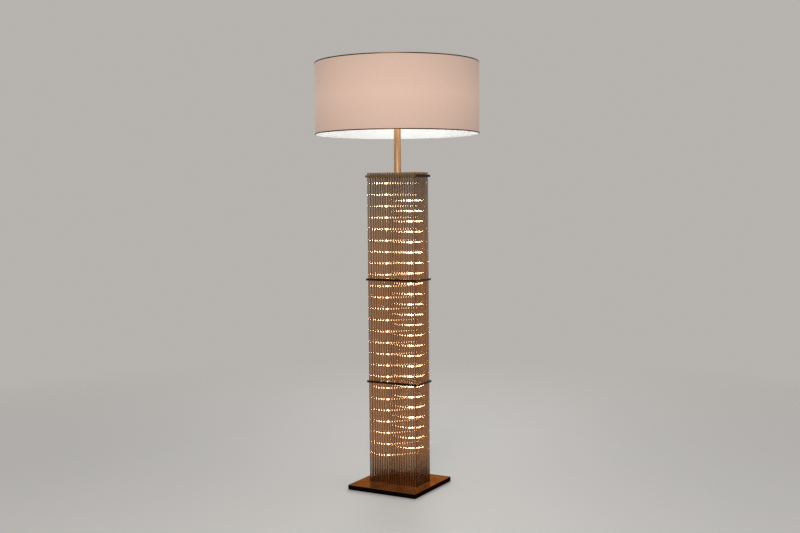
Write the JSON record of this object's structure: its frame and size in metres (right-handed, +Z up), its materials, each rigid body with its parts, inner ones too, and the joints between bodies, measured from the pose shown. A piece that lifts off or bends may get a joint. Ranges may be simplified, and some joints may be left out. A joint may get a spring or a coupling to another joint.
{
  "type": "floor lamp",
  "caption": "Floor lamp with a cage of upright glass rods in tiers between metal plates round a central stem, strings of small lights inside, a square base and a drum shade.",
  "frame": {"origin": "on the floor, at the middle of the base", "axes": "+X along the long side of the cage, -Y the front, +Z up"},
  "size_m": [0.6499, 0.65, 1.69],
  "materials": {
    "base_brass": "brushed, lacquered, warm",
    "satin_brass": "satin",
    "bronze_plate": "dark antique, satin",
    "clear_glass": "clear, polished",
    "steel": "bright zinc",
    "black_rubber": "matt",
    "black_plastic": "fine grain",
    "white_plastic": "matt",
    "warm_light": "warm white, lit",
    "opal": "opal, lit",
    "shade_fabric": "woven, laminated, lit from inside"
  },
  "bodies": {
    "stand": {"base_plate": "base_brass", "base_cover": "steel", "cover_screws": "steel", "foot_pads": "black_rubber", "cable_grommet": "black_rubber", "led_driver": "white_plastic", "terminal_block": "white_plastic", "core_tube": "steel", "wiring_loom": "black_rubber", "stack_washers": "steel", "stack_nuts": "steel", "centring_bushes": "satin_brass", "stem_tube_lower": "satin_brass", "stem_tube_middle": "satin_brass", "stem_tube_upper": "satin_brass", "stem_tube_top": "satin_brass", "stem_cap": "satin_brass", "plate_lower": "bronze_plate", "plate_middle": "bronze_plate", "plate_top": "bronze_plate", "rods_lower_front": "clear_glass", "rods_lower_back": "clear_glass", "rods_lower_left": "clear_glass", "rods_lower_right": "clear_glass", "rods_middle_front": "clear_glass", "rods_middle_back": "clear_glass", "rods_middle_left": "clear_glass", "rods_middle_right": "clear_glass", "rods_upper_front": "clear_glass", "rods_upper_back": "clear_glass", "rods_upper_left": "clear_glass", "rods_upper_right": "clear_glass", "string_rods": "satin_brass", "lights_left": "warm_light", "lights_right": "warm_light", "cluster_body": "satin_brass", "holder_nipples": "steel", "lampholders": "black_plastic", "shade_rod": "satin_brass", "shade_seat": "satin_brass"},
    "shade": {"spider": "satin_brass", "shade_fabric": "shade_fabric", "top_rim": "bronze_plate", "bottom_rim": "bronze_plate"},
    "finial": {"finial": "satin_brass"},
    "bulb_rear": {"bulb_rear_cap": "steel", "bulb_rear_globe": "opal"},
    "bulb_left": {"bulb_left_cap": "steel", "bulb_left_globe": "opal"},
    "bulb_right": {"bulb_right_cap": "steel", "bulb_right_globe": "opal"}
  },
  "joints": [
    {"name": "shade_turn", "type": "hinge", "parent": "stand", "child": "shade", "pos_m": [0, 0, 1.657], "axis": [0, 0, 1], "continuous": true},
    {"name": "finial_turn", "type": "hinge", "parent": "stand", "child": "finial", "pos_m": [0, 0, 1.666], "axis": [0, 0, 1], "range_deg": [0, 1620]},
    {"name": "bulb_rear_turn", "type": "hinge", "parent": "stand", "child": "bulb_rear", "pos_m": [0, 0.064, 1.491], "axis": [0, 1, 0], "range_deg": [0, 1260]},
    {"name": "bulb_left_turn", "type": "hinge", "parent": "stand", "child": "bulb_left", "pos_m": [-0.05543, -0.032, 1.491], "axis": [-0.866, -0.5, 0], "range_deg": [0, 1260]},
    {"name": "bulb_right_turn", "type": "hinge", "parent": "stand", "child": "bulb_right", "pos_m": [0.05543, -0.032, 1.491], "axis": [0.866, -0.5, 0], "range_deg": [0, 1260]}
  ]
}
